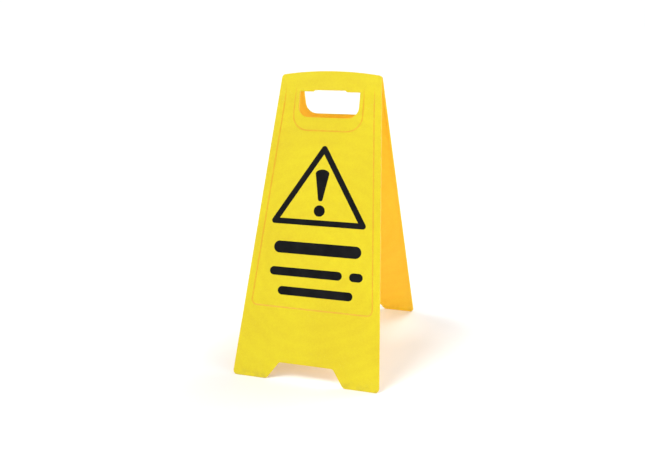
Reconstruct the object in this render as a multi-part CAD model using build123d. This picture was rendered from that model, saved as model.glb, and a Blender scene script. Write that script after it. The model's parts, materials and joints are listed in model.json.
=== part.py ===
"""Folding two-board floor sign, in millimetres.

Two identical moulded polypropylene boards lean against each other and turn about two short
steel pins behind the carry grip. Each board is a thin skin with a raised rim on its inner side,
a carry opening, a foot notch, and a shallow panel on its outer face that holds the graphics.
The graphics are pieces of cut black vinyl: a hazard triangle, an exclamation mark, plain bars.

Row frame: the floor is z = 0, the front board faces -Y, and +X is to the front board's right.
Board frame: the origin is on the hinge axis, x runs across the board, y runs up the board and
z points out of the board's outer face. "Drop" is the distance down the board from its top.
"""

import math
import os

from build123d import *

# ---- driving dimensions of a board -------------------------------------------------------
BOARD_LENGTH = 620.0  # from the top of the arched edge to the foot, along the board
TOP_WIDTH = 205.0  # across the two top corners, before they are rounded
FOOT_WIDTH = 300.0
ARCH_RISE = 8.4  # how much the top edge rises between its corners
LEAN = 19.5  # degrees from upright when the sign stands open
RIM_THICKNESS = 3.6
SKIN_THICKNESS = 2.4
RIM_WIDTH = 4.5
RIM_TOP_DROP = 8.7  # lower edge of the rim along the top, where it is level
RIM_BEND = 72.0  # from here out to the corners that edge falls
RIM_FALL = 0.14  # how steeply
TOP_CORNER_RADIUS = 8.0
EDGE_ROUND = 0.8
INNER_EDGE_ROUND = 0.4

# ---- hinge -------------------------------------------------------------------------------
AXIS_DROP = 13.5  # from the top of the arch down to the hinge axis
AXIS_TO_RIM = 2.9  # from the hinge axis out to the plane of the rim's inner face
STOP_CLEARANCE = 0.05  # each board's stop face to the middle plane when open
KNUCKLE_RADIUS = 3.75
KNUCKLE_CENTRE = 76.0  # from the middle of the board to the middle of a hinge
MIDDLE_KNUCKLE = 12.0  # width of the single knuckle
OUTER_KNUCKLE = 6.0  # width of each knuckle of the forked pair
KNUCKLE_GAP = 0.35
KNUCKLE_EDGE_ROUND = 0.4
BORE_CHAMFER = 0.25
PIN_RADIUS = 1.5
PIN_RUNNING_CLEARANCE = 0.06
PIN_OVERHANG = 0.6
PIN_CHAMFER = 0.35
WEB_OVERLAP = 0.4  # how far a knuckle's web runs into the skin and the top rim

# ---- carry opening -----------------------------------------------------------------------
OPENING_HALF_WIDTH = 62.0
OPENING_TOP_DROP = 41.5
OPENING_BOTTOM_DROP = 93.9
OPENING_CORNER_RADIUS = 22.0
OPENING_TOP_RADIUS = 1.5
RELIEF_HALF_WIDTH = 31.5  # finger relief in the middle of the grip's lower edge
RELIEF_DEPTH = 3.0
RELIEF_RAMP = 2.5

# ---- foot notch --------------------------------------------------------------------------
NOTCH_FOOT_HALF_WIDTH = 79.0
NOTCH_TOP_HALF_WIDTH = 55.0
NOTCH_HEIGHT = 34.8
NOTCH_RADIUS = 7.0
FOOT_OUTER_RADIUS = 8.0
FOOT_INNER_RADIUS = 9.0
FOOT_SPARE = 8.0  # board length beyond the foot that the floor plane trims away
FOOT_BEVEL = 1.5  # how much sooner the board ends on its inner side, where the floor plane cuts it

# ---- recessed panel on the outer face ----------------------------------------------------
PANEL_DEPTH = 0.8
PANEL_WALL_RUN = 2.8  # how far the panel's wall slopes in over that depth
PANEL_MARGIN = 13.4  # from the board's side edge, measured across the board
PANEL_TOP_DROP = 30.0
PANEL_FULL_DEPTH_DROP = 66.0
PANEL_BOTTOM_DROP = 477.6
PANEL_RADIUS = 12.6
BOSS_HALF_WIDTH = 69.6  # raised land that surrounds the carry opening
BOSS_BOTTOM_DROP = 119.1
BOSS_RADIUS = 29.4

# ---- graphics ----------------------------------------------------------------------------
FILM_THICKNESS = 0.12
TRIANGLE_APEX_DROP = 156.2  # the triangle's line is measured along its middle
TRIANGLE_BASE_DROP = 304.5
TRIANGLE_HALF_BASE = 90.6
TRIANGLE_LINE = 11.6
MARK_TOP_DROP = 197.5
MARK_TIP_DROP = 261.0
MARK_HALF_WIDTH = 14.4
MARK_TIP_RADIUS = 5.0
MARK_SHOULDER_DROP = 204.0
MARK_SHOULDER_RADIUS = 6.0
DOT_DROP = 280.2
DOT_RADIUS = 11.3
TOP_BAR = (2.5, 356.5, 179.0, 24.0)  # middle across the board, drop, length, height
LONG_BAR = (-17.0, 405.0, 148.5, 17.0)
SHORT_BAR = (85.5, 405.0, 27.0, 17.0)
LOW_BAR = (5.5, 443.0, 153.0, 17.0)

# ---- marks that moulding leaves proud of the inner face ----------------------------------
EJECTOR_RADIUS = 4.0
EJECTOR_HEIGHT = 0.12
EJECTOR_DROPS = (140.0, 290.0, 430.0, 545.0)
EJECTOR_EDGE_MARGIN = 26.0
GATE_DROP = 360.0
GATE_RADIUS = 2.2
GATE_TIP_RADIUS = 1.54
GATE_HEIGHT = 0.5

# ---- worked out from the above -----------------------------------------------------------
RIM_PLANE = AXIS_TO_RIM
SKIN_PLANE = AXIS_TO_RIM + RIM_THICKNESS - SKIN_THICKNESS
OUTER_PLANE = AXIS_TO_RIM + RIM_THICKNESS
PANEL_PLANE = OUTER_PLANE - PANEL_DEPTH
SIDE_SLOPE = (FOOT_WIDTH - TOP_WIDTH) / 2 / (BOARD_LENGTH - ARCH_RISE)
COS_LEAN = math.cos(math.radians(LEAN))
SIN_LEAN = math.sin(math.radians(LEAN))
AXIS_HEIGHT = (BOARD_LENGTH - AXIS_DROP) * COS_LEAN - OUTER_PLANE * SIN_LEAN
PIN_LENGTH = MIDDLE_KNUCKLE + 2 * (OUTER_KNUCKLE + KNUCKLE_GAP + PIN_OVERHANG)
BIG = 900.0  # larger than the sign in every direction
NEAR = 1.0  # a corner this near to a place is the one meant
TINY = 1e-4  # lengths that differ by less are the same

FRONT = Plane(origin=(0, 0, AXIS_HEIGHT), x_dir=(1, 0, 0), z_dir=(0, -COS_LEAN, SIN_LEAN)).location
REAR = Rot(0, 0, 180) * FRONT


def height(drop):
    """A drop below the top of the arch as a y of the board frame."""
    return AXIS_DROP - drop


def half_width(drop):
    """Half the board's width at a drop, along its straight sides."""
    return TOP_WIDTH / 2 + SIDE_SLOPE * (drop - ARCH_RISE)


def loop(*edges):
    """A face bounded by these edges, which join end to end."""
    return make_face(Curve() + list(edges))


def slab(face, low, high):
    """A face of the board's plane, thickened from z = low to z = high."""
    return extrude(Pos(0, 0, low) * face, high - low)


def in_board(solid):
    """A solid of the row frame, seen from the front board's frame."""
    return FRONT.inverse() * solid


def corners_near(face, x, y):
    """The corners of a face that lie at (+-x, y)."""
    return [v for v in face.vertices() if abs(abs(v.X) - x) < NEAR and abs(v.Y - y) < NEAR]


# ---- outlines ----------------------------------------------------------------------------
def board_outline(foot_drop):
    """The board's outline with sharp top corners and its feet at foot_drop, and no carry opening."""
    corner = half_width(ARCH_RISE)
    foot = half_width(foot_drop)
    notch_slope = (NOTCH_FOOT_HALF_WIDTH - NOTCH_TOP_HALF_WIDTH) / NOTCH_HEIGHT
    notch_drop = BOARD_LENGTH - NOTCH_HEIGHT
    notch_foot = NOTCH_TOP_HALF_WIDTH + notch_slope * (foot_drop - notch_drop)
    left, right = (-corner, height(ARCH_RISE)), (corner, height(ARCH_RISE))
    face = loop(
        ThreePointArc(left, (0, height(0)), right),
        Polyline(
            right,
            (foot, height(foot_drop)),
            (notch_foot, height(foot_drop)),
            (NOTCH_TOP_HALF_WIDTH, height(notch_drop)),
            (-NOTCH_TOP_HALF_WIDTH, height(notch_drop)),
            (-notch_foot, height(foot_drop)),
            (-foot, height(foot_drop)),
            left,
        ),
    )
    return fillet(corners_near(face, NOTCH_TOP_HALF_WIDTH, height(notch_drop)), NOTCH_RADIUS)


def opening_outline():
    """The carry opening, with the finger relief in its upper edge."""
    top, bottom = height(OPENING_TOP_DROP), height(OPENING_BOTTOM_DROP)
    half, relief = OPENING_HALF_WIDTH, RELIEF_HALF_WIDTH
    face = make_face(
        Polyline(
            (-half, bottom),
            (half, bottom),
            (half, top),
            (relief + RELIEF_RAMP, top),
            (relief, top + RELIEF_DEPTH),
            (-relief, top + RELIEF_DEPTH),
            (-relief - RELIEF_RAMP, top),
            (-half, top),
            (-half, bottom),
        )
    )
    face = fillet(corners_near(face, half, bottom), OPENING_CORNER_RADIUS)
    return fillet(corners_near(face, half, top), OPENING_TOP_RADIUS)


def panel_outline():
    """The recessed panel: it follows the board's sides and goes round the opening's raised land."""
    bottom = height(PANEL_BOTTOM_DROP)
    low, high = half_width(PANEL_BOTTOM_DROP) - PANEL_MARGIN, half_width(0) - PANEL_MARGIN
    panel = make_face(
        Polyline((-low, bottom), (low, bottom), (high, height(0)), (-high, height(0)), (-low, bottom))
    )
    panel = fillet(corners_near(panel, low, bottom), PANEL_RADIUS)
    land_bottom = height(BOSS_BOTTOM_DROP)
    land = Pos(0, (land_bottom + height(-BOSS_RADIUS)) / 2) * Rectangle(
        2 * BOSS_HALF_WIDTH, height(-BOSS_RADIUS) - land_bottom
    )
    land = fillet(corners_near(land, BOSS_HALF_WIDTH, land_bottom), BOSS_RADIUS)
    return panel - land


# ---- board features ----------------------------------------------------------------------
def blank():
    """The board as a plain slab: trimmed level at the foot and upright where it meets its twin."""
    outline = board_outline(BOARD_LENGTH + FOOT_SPARE)
    outline = fillet(corners_near(outline, TOP_WIDTH / 2, height(ARCH_RISE)), TOP_CORNER_RADIUS)
    board = slab(outline, RIM_PLANE, OUTER_PLANE)
    floor = in_board(Pos(0, 0, -BIG / 2) * Box(BIG, BIG, BIG))
    far_side = in_board(Pos(0, BIG / 2 - STOP_CLEARANCE, AXIS_HEIGHT) * Box(BIG, BIG, BIG))
    board = board - floor - far_side
    board = round_foot_corners(board)
    return board - slab(opening_outline(), RIM_PLANE, OUTER_PLANE)


def through_edges(board, low, high):
    """The edges that run through the board at the foot, with |x| from low to high."""
    foot_y = height(BOARD_LENGTH)
    short = [e for e in board.edges() if e.length < 2 * RIM_THICKNESS]
    at_foot = [e for e in short if abs(e.center().Y - foot_y) < RIM_THICKNESS]
    return [e for e in at_foot if low < abs(e.center().X) < high]


def round_foot_corners(board):
    """Rounds the four corners of the two feet, through the board's thickness."""
    middle = (FOOT_WIDTH / 2 + NOTCH_FOOT_HALF_WIDTH) / 2
    board = fillet(through_edges(board, middle, FOOT_WIDTH), FOOT_OUTER_RADIUS)
    return fillet(through_edges(board, NOTCH_TOP_HALF_WIDTH, middle), FOOT_INNER_RADIUS)


def top_rim():
    """The region above the top rim's lower edge, which runs straight, so that it clears the knuckles."""
    level, reach = height(RIM_TOP_DROP), FOOT_WIDTH / 2
    corner = level - RIM_FALL * (reach - RIM_BEND)
    return make_face(
        Polyline(
            (-RIM_BEND, level),
            (RIM_BEND, level),
            (reach, corner),
            (reach, BIG),
            (-reach, BIG),
            (-reach, corner),
            (-RIM_BEND, level),
        )
    )


def inner_pocket():
    """What is hollowed out of the inner side, so that the rim stands round a thinner skin."""
    foot_drop = BOARD_LENGTH - FOOT_BEVEL
    field = offset(board_outline(foot_drop), -RIM_WIDTH, kind=Kind.INTERSECTION)
    field -= top_rim()
    low = [v for v in field.vertices() if v.Y < height(foot_drop - RIM_WIDTH) + NEAR]
    field = fillet(low, FOOT_OUTER_RADIUS - RIM_WIDTH)
    top = [v for v in field.vertices() if v.Y > height(OPENING_TOP_DROP)]
    corners = [v for v in top if abs(v.X) > RIM_BEND + NEAR]
    field = fillet(corners, TOP_CORNER_RADIUS - RIM_WIDTH)
    collar = offset(opening_outline(), RIM_WIDTH, kind=Kind.INTERSECTION)
    return slab(field - collar, RIM_PLANE, SKIN_PLANE)


def panel_recess():
    """What is pressed into the outer face for the panel, fading out towards the top."""
    outline = panel_outline()
    taper = math.degrees(math.atan2(PANEL_WALL_RUN, PANEL_DEPTH))
    above = 1.0
    tool = extrude(Pos(0, 0, OUTER_PLANE) * outline, -PANEL_DEPTH, taper=taper)
    tool += slab(outline, OUTER_PLANE, OUTER_PLANE + above)
    profile = Plane.YZ * make_face(
        Polyline(
            (height(PANEL_TOP_DROP), OUTER_PLANE),
            (height(PANEL_FULL_DEPTH_DROP), PANEL_PLANE),
            (height(BOARD_LENGTH), PANEL_PLANE),
            (height(BOARD_LENGTH), OUTER_PLANE + above),
            (height(PANEL_TOP_DROP), OUTER_PLANE + above),
            (height(PANEL_TOP_DROP), OUTER_PLANE),
        )
    )
    return tool & extrude(profile, BIG, both=True)


def circles(solid, radius):
    """The solid's round edges of this radius."""
    return [e for e in solid.edges().filter_by(GeomType.CIRCLE) if abs(e.radius - radius) < TINY]


def knuckle(centre, width, bore):
    """One hinge knuckle: a barrel round the hinge axis on a web that joins the skin and the top rim."""
    root = SKIN_PLANE + WEB_OVERLAP
    rim_edge = height(RIM_TOP_DROP) + WEB_OVERLAP
    profile = Circle(KNUCKLE_RADIUS)
    profile += Pos(0, root / 2) * Rectangle(2 * KNUCKLE_RADIUS, root)
    profile += Pos(rim_edge / 2, (RIM_PLANE + root) / 2) * Rectangle(rim_edge, root - RIM_PLANE)
    profile -= Circle(bore)
    barrel = extrude(Plane.YZ * profile, width / 2, both=True)
    barrel = fillet(circles(barrel, KNUCKLE_RADIUS), KNUCKLE_EDGE_ROUND)
    return Pos(centre, 0, 0) * chamfer(circles(barrel, bore), BORE_CHAMFER)


def knuckles():
    """A forked pair of knuckles on the board's left, which grips a pin, and one on its right."""
    fork = (MIDDLE_KNUCKLE + OUTER_KNUCKLE) / 2 + KNUCKLE_GAP
    return [
        knuckle(-KNUCKLE_CENTRE - fork, OUTER_KNUCKLE, PIN_RADIUS),
        knuckle(-KNUCKLE_CENTRE + fork, OUTER_KNUCKLE, PIN_RADIUS),
        knuckle(KNUCKLE_CENTRE, MIDDLE_KNUCKLE, PIN_RADIUS + PIN_RUNNING_CLEARANCE),
    ]


def ejector_marks():
    """Faint raised discs that the mould's ejector pins leave on the inner face."""
    disc = slab(Circle(EJECTOR_RADIUS), SKIN_PLANE - EJECTOR_HEIGHT, SKIN_PLANE)
    places = []
    for drop in EJECTOR_DROPS:
        reach = half_width(drop) - EJECTOR_EDGE_MARGIN
        places += [(-reach, height(drop)), (reach, height(drop))]
    return [Pos(x, y, 0) * disc for x, y in places]


def gate_stub():
    """The trimmed stub of the moulding gate, in the middle of the inner face."""
    stub = Cone(GATE_RADIUS, GATE_TIP_RADIUS, GATE_HEIGHT, align=(Align.CENTER, Align.CENTER, Align.MIN))
    return Pos(0, height(GATE_DROP), SKIN_PLANE) * Rot(180, 0, 0) * stub


def round_edges(board):
    """Softens the board's outer edges and the opening's, then the inner side's."""
    outer = board.faces().filter_by(lambda f: on_plane(f, OUTER_PLANE))
    board = fillet(outer.edges(), EDGE_ROUND)
    inner = board.faces().filter_by(lambda f: on_plane(f, RIM_PLANE))
    return fillet(inner.edges(), INNER_EDGE_ROUND)


def on_plane(face, level):
    """True for a flat face that lies in the board frame's plane z = level."""
    return face.geom_type == GeomType.PLANE and all(abs(v.Z - level) < TINY for v in face.vertices())


def board():
    """One moulded board, in its own frame."""
    made = blank() - inner_pocket()
    made = round_edges(made)
    made -= panel_recess()
    for detail in [*ejector_marks(), gate_stub(), *knuckles()]:
        made += detail
    return made.solid()


# ---- hinge pins --------------------------------------------------------------------------
def hinge_pin(centre):
    """A chamfered steel pin on the hinge axis."""
    pin = Rot(0, 90, 0) * Cylinder(PIN_RADIUS, PIN_LENGTH)
    return Pos(centre, 0, 0) * chamfer(pin.edges().filter_by(GeomType.CIRCLE), PIN_CHAMFER)


# ---- graphics ----------------------------------------------------------------------------
def film(face):
    """A cut vinyl shape stuck on the panel."""
    return slab(face, PANEL_PLANE, PANEL_PLANE + FILM_THICKNESS)


def hazard_triangle():
    """A triangular line with rounded outer corners and sharp inner ones."""
    middle = make_face(
        Polyline(
            (-TRIANGLE_HALF_BASE, height(TRIANGLE_BASE_DROP)),
            (TRIANGLE_HALF_BASE, height(TRIANGLE_BASE_DROP)),
            (0, height(TRIANGLE_APEX_DROP)),
            (-TRIANGLE_HALF_BASE, height(TRIANGLE_BASE_DROP)),
        )
    )
    outer = offset(middle, TRIANGLE_LINE / 2, kind=Kind.ARC)
    inner = offset(middle, -TRIANGLE_LINE / 2, kind=Kind.INTERSECTION)
    return film(outer - inner)


def exclamation_stroke():
    """The mark's tapered stroke, with a domed top."""
    shoulder, tip = height(MARK_SHOULDER_DROP), height(MARK_TIP_DROP)
    tip_centre = tip + MARK_TIP_RADIUS
    half, small = MARK_HALF_WIDTH, MARK_TIP_RADIUS
    stroke = loop(
        ThreePointArc((-half, shoulder), (0, height(MARK_TOP_DROP)), (half, shoulder)),
        Line((half, shoulder), (small, tip_centre)),
        ThreePointArc((small, tip_centre), (0, tip), (-small, tip_centre)),
        Line((-small, tip_centre), (-half, shoulder)),
    )
    return film(fillet(corners_near(stroke, half, shoulder), MARK_SHOULDER_RADIUS))


def exclamation_dot():
    """The mark's round dot."""
    return film(Pos(0, height(DOT_DROP)) * Circle(DOT_RADIUS))


def message_bar(across, drop, length, tall):
    """A plain round-ended bar where a sign of this kind carries a line of its message."""
    return film(Pos(across, height(drop)) * SlotOverall(length, tall))


# ---- assembly ----------------------------------------------------------------------------
def graphics():
    """Each piece of vinyl by its name, in the board frame."""
    return {
        "hazard_triangle": hazard_triangle(),
        "exclamation_stroke": exclamation_stroke(),
        "exclamation_dot": exclamation_dot(),
        "message_bar_top": message_bar(*TOP_BAR),
        "message_bar_long": message_bar(*LONG_BAR),
        "message_bar_short": message_bar(*SHORT_BAR),
        "message_bar_low": message_bar(*LOW_BAR),
    }


def write(name, solid):
    """Writes one node."""
    export_step(solid, f"parts/{name}.step")


def main():
    os.makedirs("parts", exist_ok=True)
    moulding = board()
    vinyl = graphics()
    for side, place in (("front", FRONT), ("rear", REAR)):
        write(f"{side}_board", place * moulding)
        for name, piece in vinyl.items():
            write(f"{side}_{name}", place * piece)
    write("left_hinge_pin", FRONT * hinge_pin(-KNUCKLE_CENTRE))
    write("right_hinge_pin", FRONT * hinge_pin(KNUCKLE_CENTRE))


main()
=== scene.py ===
"""The looks of the folding floor sign: a camera, a pale studio, and the finish of every part.

The CAD nodes keep their shapes. This script gives them their materials: moulded polypropylene
on the two boards, cut vinyl on the graphics and drawn steel on the hinge pins.
All lengths are metres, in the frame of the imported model: floor at z = 0, front board facing -Y.
"""

import json
import math

import bpy
from mathutils import Matrix, Vector


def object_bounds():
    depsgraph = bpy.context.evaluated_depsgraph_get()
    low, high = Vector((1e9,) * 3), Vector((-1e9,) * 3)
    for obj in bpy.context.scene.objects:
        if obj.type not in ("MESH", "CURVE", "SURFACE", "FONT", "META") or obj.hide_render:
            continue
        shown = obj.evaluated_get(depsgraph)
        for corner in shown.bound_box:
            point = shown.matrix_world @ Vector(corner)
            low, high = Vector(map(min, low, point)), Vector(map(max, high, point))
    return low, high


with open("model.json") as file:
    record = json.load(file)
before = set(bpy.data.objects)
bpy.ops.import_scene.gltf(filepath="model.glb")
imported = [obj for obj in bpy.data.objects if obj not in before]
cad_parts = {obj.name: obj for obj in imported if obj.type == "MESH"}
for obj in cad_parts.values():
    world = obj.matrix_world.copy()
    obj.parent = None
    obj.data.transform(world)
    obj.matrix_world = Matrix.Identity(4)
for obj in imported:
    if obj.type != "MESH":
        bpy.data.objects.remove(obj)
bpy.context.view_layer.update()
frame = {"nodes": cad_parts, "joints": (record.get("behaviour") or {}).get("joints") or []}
NODES = frame["nodes"]
LOW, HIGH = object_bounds()
CENTRE = (LOW + HIGH) / 2
HEIGHT = HIGH.z - LOW.z
HINGE = Vector(frame["joints"][0]["pos_m"])

# ---- the board's shape, as the materials need it -----------------------------------------
LEAN = math.radians(19.5)  # from upright, with the sign standing open
AXIS_DROP = 0.0135  # from the top of the board down to the hinge axis
TOP_WIDTH = 0.205
FOOT_WIDTH = 0.300
BOARD_LENGTH = 0.620
SIDE_SLOPE = (FOOT_WIDTH - TOP_WIDTH) / 2 / BOARD_LENGTH
GATE_DROP = 0.360  # where the plastic entered the mould
GRIP_DROP = 0.068  # middle of the carry opening
PANEL_DEPTH = 0.0008
PANEL_WALL_RUN = 0.0028  # how far the panel's wall slopes in over that depth
WALL_FACING = PANEL_WALL_RUN / math.hypot(PANEL_WALL_RUN, PANEL_DEPTH)  # cosine of its slope

# ---- camera ------------------------------------------------------------------------------
CAMERA_AZIMUTH = math.radians(16.14)  # from straight in front, towards the sign's right
CAMERA_ELEVATION = math.radians(16.6)
CAMERA_ROLL = math.radians(0.25)
CAMERA_DISTANCE = 1.5099
CAMERA_LENS = 39.61  # millimetres, as is the sensor
CAMERA_SENSOR = 36.0
AIM_HEIGHT = 0.4257 * HEIGHT
AIM_LEFT = 0.02  # how far to the left of the sign's middle it looks


def towards(azimuth, elevation):
    """The direction from the sign's middle at an azimuth counted from the front to the right."""
    level = math.cos(elevation)
    return Vector((math.sin(azimuth) * level, -math.cos(azimuth) * level, math.sin(elevation)))


def make_camera():
    """Looks down on the sign a little, from its right."""
    back = towards(CAMERA_AZIMUTH, CAMERA_ELEVATION)
    right = Vector((math.cos(CAMERA_AZIMUTH), math.sin(CAMERA_AZIMUTH), 0))
    aim = Vector((CENTRE.x, CENTRE.y, LOW.z + AIM_HEIGHT)) - AIM_LEFT * right
    data = bpy.data.cameras.new("camera")
    data.lens = CAMERA_LENS
    data.sensor_width = CAMERA_SENSOR
    data.clip_start = 0.05
    data.clip_end = 200
    camera = bpy.data.objects.new("camera", data)
    bpy.context.scene.collection.objects.link(camera)
    camera.matrix_world = (
        Matrix.Translation(aim + CAMERA_DISTANCE * back)
        @ back.to_track_quat("Z", "Y").to_matrix().to_4x4()
        @ Matrix.Rotation(-CAMERA_ROLL, 4, "Z")
    )
    bpy.context.scene.camera = camera


make_camera()


# ---- a material's node graph -------------------------------------------------------------
class Graph:
    """The node tree of one new material, with short ways to add the nodes used here."""

    def __init__(self, name):
        self.material = bpy.data.materials.new(name)
        self.material.use_nodes = True
        self.tree = self.material.node_tree
        self.tree.nodes.clear()
        self.shader = self.tree.nodes.new("ShaderNodeBsdfPrincipled")
        output = self.tree.nodes.new("ShaderNodeOutputMaterial")
        self.tree.links.new(self.shader.outputs["BSDF"], output.inputs["Surface"])
        coordinates = self.tree.nodes.new("ShaderNodeTexCoord")
        self.place = coordinates.outputs["Object"]
        self.normal = coordinates.outputs["Normal"]

    def feed(self, entry, value):
        """Joins a socket to an input, or gives the input a plain value."""
        if isinstance(value, bpy.types.NodeSocket):
            self.tree.links.new(value, entry)
        else:
            entry.default_value = value

    def add(self, kind, inputs, **settings):
        """A node with its settings, and its inputs given values or joined to sockets."""
        node = self.tree.nodes.new(kind)
        for key, value in settings.items():
            setattr(node, key, value)
        for key, value in inputs.items():
            self.feed(node.inputs[key], value)
        return node

    def finish(self, **entries):
        """Feeds the shader and gives the material; Base_Color stands for Base Color."""
        for key, value in entries.items():
            self.feed(self.shader.inputs[key.replace("_", " ")], value)
        return self.material

    def maths(self, operation, first, second=0.0, third=0.0):
        """A Math node's result."""
        values = {0: first, 1: second, 2: third}
        return self.add("ShaderNodeMath", values, operation=operation).outputs[0]

    def product(self, *factors):
        """All the factors multiplied."""
        result = factors[0]
        for factor in factors[1:]:
            result = self.maths("MULTIPLY", result, factor)
        return result

    def total(self, *terms):
        """All the terms added."""
        result = terms[0]
        for term in terms[1:]:
            result = self.maths("ADD", result, term)
        return result

    def largest(self, *values):
        """The largest of the values."""
        result = values[0]
        for value in values[1:]:
            result = self.maths("MAXIMUM", result, value)
        return result

    def gap(self, first, second):
        """How far apart two values are."""
        return self.maths("ABSOLUTE", self.maths("SUBTRACT", first, second))

    def dot(self, vector, direction):
        """How far a vector reaches along a direction."""
        values = {0: vector, 1: direction}
        return self.add("ShaderNodeVectorMath", values, operation="DOT_PRODUCT").outputs["Value"]

    def fade(self, value, start, end, low=0.0, high=1.0):
        """Goes smoothly from low, where value is start, to high, where it is end."""
        values = {"Value": value, "From Min": start, "From Max": end, "To Min": low, "To Max": high}
        return self.add("ShaderNodeMapRange", values, interpolation_type="SMOOTHSTEP").outputs[0]

    def stretched(self, scale, turn=(0, 0, 0), shift=(0, 0, 0)):
        """The place on the part, turned and scaled, for a texture drawn out in one direction."""
        values = {"Vector": self.place, "Rotation": turn, "Location": shift}
        turned = self.add("ShaderNodeMapping", values).outputs[0]
        return self.add("ShaderNodeMapping", {"Vector": turned, "Scale": scale}).outputs[0]

    def noise(self, size, detail=2.0, rough=0.5, at=None):
        """Noise from 0 to 1 with features of about this size, in metres or in the units of at."""
        values = {"Vector": at or self.place, "Scale": 1 / size, "Detail": detail, "Roughness": rough}
        return self.add("ShaderNodeTexNoise", values).outputs[0]

    def cells(self, size):
        """Distance from the middle of the nearest of random cells of this size."""
        values = {"Vector": self.place, "Scale": 1 / size}
        return self.add("ShaderNodeTexVoronoi", values).outputs["Distance"]

    def mix(self, factor, first, second):
        """A colour between first and second, which are colours or sockets."""
        node = self.add("ShaderNodeMix", {0: factor}, data_type="RGBA")
        for entry, colour in ((6, first), (7, second)):  # where a colour mix has its two colours
            plain = isinstance(colour, tuple)
            self.feed(node.inputs[entry], (*colour, 1) if plain else colour)
        return node.outputs[2]

    def bump(self, height, distance, under=None):
        """The surface's normal with this height, in units of distance, on top of another bump."""
        values = {"Height": height, "Distance": distance}
        if under:
            values["Normal"] = under
        return self.add("ShaderNodeBump", values).outputs[0]

    def scratches(self, length, width, turn, rarity):
        """Fine straight scratches of one direction, from 0 to 1; each rarity has its own pattern."""
        shift = (rarity, rarity * 3, rarity * 7)
        at = self.stretched((1 / length, 1 / width, 1 / width), turn, shift)
        return self.fade(self.noise(1.0, 1.0, at=at), rarity, rarity + 0.05)


# ---- moulded polypropylene ---------------------------------------------------------------
YELLOW = (0.775, 0.66, 0.010)
YELLOW_DEEP = (0.65, 0.48, 0.004)
# painted shade: the inner faces are the same yellow plastic, given this amber to stand in for the
# shade inside the sign
INNER_SHADE_AMBER = (0.965, 0.65, 0.032)
INNER_SHADE_AMBER_DEEP = (0.93, 0.50, 0.012)
# painted shade: a darker amber painted along the panel's sloping wall, for the shade in the recess
WALL_SHADE = (0.76, 0.43, 0.014)
WALL_SHADE_DEEP = (0.69, 0.355, 0.009)
SCUFFED = (0.80, 0.70, 0.20)
GRIME = (0.30, 0.225, 0.07)

CLOUD_SIZE = 0.14
PATCH_SIZE = 0.05
WANDER_SIZE = 0.09  # how the flow rings stray: over what distance, and how far
WANDER_REACH = 0.05
RING_RATE = 260.0  # radians a metre, so a ring every 24 mm
# size of the patches in the painted shade along the panel's wall
WALL_SHADE_PATCH_SIZE = 0.007
MOTTLE_SIZE = 0.0045
PEBBLE_SIZE = 0.0007  # the mould's grain
PEBBLE_HEIGHT = 0.00009
WAVE_SIZE = 0.11  # slow waves of the sheet
WAVE_HEIGHT = 0.0022
SCRATCH_DEPTH = 0.00003
NICK_SIZE = 0.004
SMUDGE_SIZE = 0.012
SHEEN_SIZE = 0.006
BASE_ROUGHNESS = 0.36
POLYPROPYLENE_IOR = 1.49


class Spot:
    """Where a point lies on a board, in metres along and across it."""

    def __init__(self, graph, upward):
        axis = HINGE.dot(Vector(upward))
        self.drop = graph.maths("SUBTRACT", AXIS_DROP + axis, graph.dot(graph.place, upward))
        self.across = graph.maths("ABSOLUTE", graph.dot(graph.place, (1, 0, 0)))
        half_width = graph.maths("MULTIPLY_ADD", self.drop, SIDE_SLOPE, TOP_WIDTH / 2)
        self.from_side = graph.maths("SUBTRACT", half_width, self.across)
        self.from_foot = graph.maths("SUBTRACT", BOARD_LENGTH, self.drop)


def flow_rings(graph, spot):
    """Faint rings that the melt left as it ran out from the gate, from -1 to 1."""
    down = graph.maths("SUBTRACT", spot.drop, GATE_DROP)
    squares = graph.total(graph.product(down, down), graph.product(spot.across, spot.across))
    from_gate = graph.maths("SQRT", squares)
    strayed = graph.maths("MULTIPLY_ADD", graph.noise(WANDER_SIZE, 3.0), WANDER_REACH, from_gate)
    return graph.maths("SINE", graph.maths("MULTIPLY", strayed, RING_RATE))


def clean_colour(graph, facing, depth):
    """Yellow outside; amber painted on the inner side as shade, and a darker amber painted along the
    panel's wall as shade; each of uneven depth.
    """
    outside = graph.mix(depth, YELLOW, YELLOW_DEEP)
    # painted shade on the inner faces
    painted_inner_shade = graph.mix(depth, INNER_SHADE_AMBER, INNER_SHADE_AMBER_DEEP)
    # painted shade along the panel's wall
    painted_wall_shade = graph.mix(depth, WALL_SHADE, WALL_SHADE_DEEP)
    inner = graph.fade(facing, 0.2, -0.6)
    # where the painted shade lies: on the panel's sloping wall, broken into patches
    wall = graph.product(
        graph.fade(graph.gap(facing, WALL_FACING), 0.014, 0.007),
        graph.fade(graph.noise(WALL_SHADE_PATCH_SIZE, 4.0, 0.65), 0.32, 0.6, 0.55, 1.0),
    )
    return graph.mix(wall, graph.mix(inner, outside, painted_inner_shade), painted_wall_shade)


def scratch_marks(graph, spot, patches):
    """Scratches from stacking and carrying, mostly round the grip and at the feet."""
    near_grip = graph.fade(graph.gap(spot.drop, GRIP_DROP), 0.075, 0.02)
    near_foot = graph.fade(spot.from_foot, 0.11, 0.01)
    exposed = graph.largest(near_grip, near_foot, 0.35)
    lines = graph.largest(
        graph.scratches(0.045, 0.0009, (0.0, 0.6, 0.15), 0.70),
        graph.scratches(0.03, 0.0007, (0.1, -0.9, 0.3), 0.715),
        graph.scratches(0.018, 0.0004, (0.2, 0.15, -0.2), 0.69),
    )
    return graph.product(lines, graph.fade(patches, 0.42, 0.66), exposed)


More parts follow.
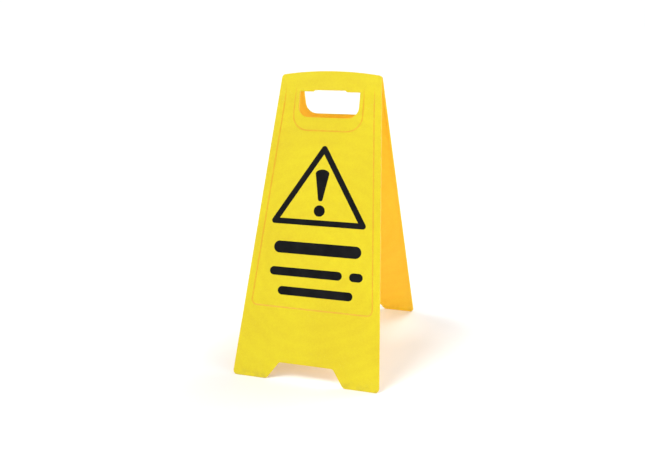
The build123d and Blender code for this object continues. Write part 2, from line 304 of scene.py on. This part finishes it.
def rubbed_edge(graph, spot, patches):
    """Where the board's side edges are worn, from 0 to 1."""
    band = graph.fade(spot.from_side, 0.0022, 0.0006)
    nicks = graph.fade(graph.noise(NICK_SIZE, 3.0, 0.6), 0.5, 0.66)
    return graph.product(band, graph.fade(patches, 0.45, 0.62), nicks)


def foot_dirt(graph, spot):
    """Dirt that the feet pick up from the floor, from 0 to 1."""
    band = graph.fade(spot.from_foot, 0.022, 0.001)
    return graph.product(band, graph.fade(graph.noise(SMUDGE_SIZE, 4.0, 0.65), 0.42, 0.68))


def plastic(name, outward, upward):
    """A board's plastic: outward is its outer face's direction, upward the way up the board."""
    graph = Graph(name)
    spot = Spot(graph, upward)
    patches = graph.noise(PATCH_SIZE, 3.0)
    clouds = graph.fade(graph.noise(CLOUD_SIZE, 4.0, 0.6), 0.3, 0.7)
    mottle = graph.fade(graph.noise(MOTTLE_SIZE, 4.0, 0.6), 0.36, 0.64)
    pebbles = graph.cells(PEBBLE_SIZE)
    grooves = graph.fade(pebbles, 0.25, 0.65)
    marks = scratch_marks(graph, spot, patches)
    edges = rubbed_edge(graph, spot, patches)
    scuffs = graph.largest(graph.product(edges, 0.5), graph.product(marks, 0.55))
    dirt = foot_dirt(graph, spot)

    depth = graph.total(
        graph.product(clouds, 0.32),
        graph.product(flow_rings(graph, spot), 0.05),
        graph.product(patches, 0.14),
        graph.product(mottle, 0.13),
        graph.product(grooves, 0.34),
    )
    clean = clean_colour(graph, graph.dot(graph.normal, outward), depth)
    scuffed = graph.mix(scuffs, clean, SCUFFED)
    colour = graph.mix(graph.product(dirt, 0.22), scuffed, GRIME)

    rough = graph.total(
        BASE_ROUGHNESS,
        graph.product(clouds, 0.07),
        graph.product(scuffs, 0.25),
        graph.product(dirt, 0.2),
        graph.product(graph.noise(SHEEN_SIZE, 3.0), 0.08),
    )
    waves = graph.bump(graph.noise(WAVE_SIZE, 1.0), WAVE_HEIGHT)
    grain = graph.bump(graph.maths("SUBTRACT", 1.0, pebbles), PEBBLE_HEIGHT, waves)
    relief = graph.bump(graph.maths("MULTIPLY", marks, -1.0), SCRATCH_DEPTH, grain)
    return graph.finish(
        Base_Color=colour,
        Roughness=rough,
        Normal=relief,
        IOR=POLYPROPYLENE_IOR,
        Specular_IOR_Level=0.4,
    )


# ---- cut vinyl ---------------------------------------------------------------------------
BLACK = (0.0040, 0.0040, 0.0044)
BLACK_WORN = (0.0085, 0.0085, 0.0092)
DUST = (0.05, 0.048, 0.042)

FILM_CLOUD_SIZE = 0.03
DUST_SPACING = 0.0016
DUST_PATCH_SIZE = 0.02
FILM_SHEEN_SIZE = 0.004
PEEL_SIZE = 0.0016  # the orange peel
PEEL_HEIGHT = 0.00004
SAG_SIZE = 0.03  # how the film follows what is under it
SAG_HEIGHT = 0.0003
FILM_ROUGHNESS = 0.40


def vinyl_film(name):
    """Semi-matt black vinyl: a slight orange peel, a cloudy sheen, dust and hairline scratches."""
    graph = Graph(name)
    clouds = graph.fade(graph.noise(FILM_CLOUD_SIZE, 4.0, 0.6), 0.3, 0.7)
    hairlines = graph.largest(
        graph.scratches(0.03, 0.0004, (0.0, 0.5, 0.1), 0.70),
        graph.scratches(0.022, 0.0003, (0.1, -0.7, 0.2), 0.71),
    )
    specks = graph.fade(graph.cells(DUST_SPACING), 0.13, 0.05)
    dust = graph.product(specks, graph.fade(graph.noise(DUST_PATCH_SIZE), 0.5, 0.7))
    pale = graph.largest(graph.product(dust, 0.6), graph.product(hairlines, 0.22))
    colour = graph.mix(pale, graph.mix(clouds, BLACK, BLACK_WORN), DUST)
    rough = graph.total(
        FILM_ROUGHNESS,
        graph.product(clouds, 0.10),
        graph.product(hairlines, 0.12),
        graph.product(graph.noise(FILM_SHEEN_SIZE, 3.0), 0.06),
    )
    sag = graph.bump(graph.noise(SAG_SIZE, 1.0), SAG_HEIGHT)
    peel = graph.bump(graph.noise(PEEL_SIZE, 1.0), PEEL_HEIGHT, sag)
    return graph.finish(Base_Color=colour, Roughness=rough, Normal=peel, Specular_IOR_Level=0.08)


# ---- drawn steel -------------------------------------------------------------------------
STEEL = (0.56, 0.56, 0.57)
STEEL_DULL = (0.33, 0.31, 0.29)

LINE_RATES = (25.0, 6000.0, 6000.0)  # drawing lines a metre: few along the pin, many across it
LINE_DEPTH = 0.000008
TARNISH_SIZE = 0.004
STEEL_ROUGHNESS = 0.22


def drawn_steel(name):
    """Bright steel wire with drawing lines along it and a little dull tarnish."""
    graph = Graph(name)
    lines = graph.noise(1.0, 2.0, at=graph.stretched(LINE_RATES))
    tarnish = graph.fade(graph.noise(TARNISH_SIZE, 4.0, 0.65), 0.48, 0.7)
    colour = graph.mix(graph.product(tarnish, 0.6), STEEL, STEEL_DULL)
    rough = graph.total(STEEL_ROUGHNESS, graph.product(lines, 0.16), graph.product(tarnish, 0.22))
    relief = graph.bump(lines, LINE_DEPTH)
    return graph.finish(Base_Color=colour, Roughness=rough, Metallic=1.0, Normal=relief)


# ---- finishes on the parts ---------------------------------------------------------------
def dress():
    """Puts each part's finish into its material slots."""
    rise = math.cos(LEAN)
    run = math.sin(LEAN)
    boards = {
        "front_board": plastic("front_board_plastic", (0, -rise, run), (0, run, rise)),
        "rear_board": plastic("rear_board_plastic", (0, rise, run), (0, -run, rise)),
    }
    vinyl = vinyl_film("black_vinyl_film")
    steel = drawn_steel("hinge_pin_steel")
    for name, node in NODES.items():
        finish = boards.get(name) or (steel if name.endswith("pin") else vinyl)
        for slot in node.material_slots:
            slot.material = finish


dress()


# ---- studio ------------------------------------------------------------------------------
FLOOR_REACH = 60.0
FLOOR_PAINT = (0.95, 0.95, 0.95)
FLOOR_SHADE = (0.92, 0.92, 0.92)
FLOOR_CLOUD_SIZE = 0.4
FLOOR_SHEEN_SIZE = 0.05
FLOOR_ROUGHNESS = 0.62
HORIZON_LIGHT = 1.02
HORIZON_TOP = 0.12  # height on the unit sphere up to which the dome is white
SKY_LIGHT = 0.38
SKY_START = 0.34  # height from which it is dim


def make_world():
    """A dome of soft light, white towards the horizon and dimmer overhead."""
    world = bpy.data.worlds.new("studio")
    bpy.context.scene.world = world
    world.use_nodes = True
    tree = world.node_tree
    direction = tree.nodes.new("ShaderNodeTexCoord").outputs["Generated"]
    split = tree.nodes.new("ShaderNodeSeparateXYZ")
    tree.links.new(direction, split.inputs[0])
    climb = tree.nodes.new("ShaderNodeMapRange")
    climb.interpolation_type = "SMOOTHSTEP"
    climb.inputs["From Min"].default_value = HORIZON_TOP
    climb.inputs["From Max"].default_value = SKY_START
    climb.inputs["To Min"].default_value = HORIZON_LIGHT
    climb.inputs["To Max"].default_value = SKY_LIGHT
    tree.links.new(split.outputs["Z"], climb.inputs["Value"])
    background = tree.nodes["Background"]
    background.inputs["Color"].default_value = (1, 1, 1, 1)
    tree.links.new(climb.outputs[0], background.inputs["Strength"])


def make_floor():
    """A wide pale floor, painted, with a faint unevenness."""
    mesh = bpy.data.meshes.new("floor")
    signs = ((-1, -1), (1, -1), (1, 1), (-1, 1))
    corners = [(x * FLOOR_REACH, y * FLOOR_REACH, LOW.z) for x, y in signs]
    mesh.from_pydata(corners, [], [(0, 1, 2, 3)])
    floor = bpy.data.objects.new("floor", mesh)
    bpy.context.scene.collection.objects.link(floor)
    graph = Graph("floor_paint")
    colour = graph.mix(graph.noise(FLOOR_CLOUD_SIZE, 4.0), FLOOR_PAINT, FLOOR_SHADE)
    sheen = graph.product(graph.noise(FLOOR_SHEEN_SIZE, 3.0), 0.12)
    rough = graph.total(FLOOR_ROUGHNESS, sheen)
    mesh.materials.append(graph.finish(Base_Color=colour, Roughness=rough, Specular_IOR_Level=0.2))


def make_lamp(kind, name, azimuth, elevation, distance=3.0, **settings):
    """A lamp aimed at the sign's middle, with its azimuth and elevation in degrees."""
    light = bpy.data.lights.new(name, kind)
    for key, value in settings.items():
        setattr(light, key, value)
    lamp = bpy.data.objects.new(name, light)
    bpy.context.scene.collection.objects.link(lamp)
    back = towards(math.radians(azimuth), math.radians(elevation))
    lamp.location = CENTRE + distance * back
    lamp.rotation_euler = back.to_track_quat("Z", "Y").to_euler()


def make_studio():
    """Two soft suns from above and a low fill from the right, over the floor and the dome."""
    bpy.context.scene.view_settings.view_transform = "Standard"
    make_world()
    make_floor()
    make_lamp("SUN", "overhead", -52, 58, energy=2.0, angle=math.radians(28))
    make_lamp("SUN", "rear_overhead", 152, 45, energy=1.5, angle=math.radians(35))
    make_lamp("AREA", "low_fill", 62, 10, distance=2.2, energy=14.0, shape="DISK", size=1.2)


make_studio()
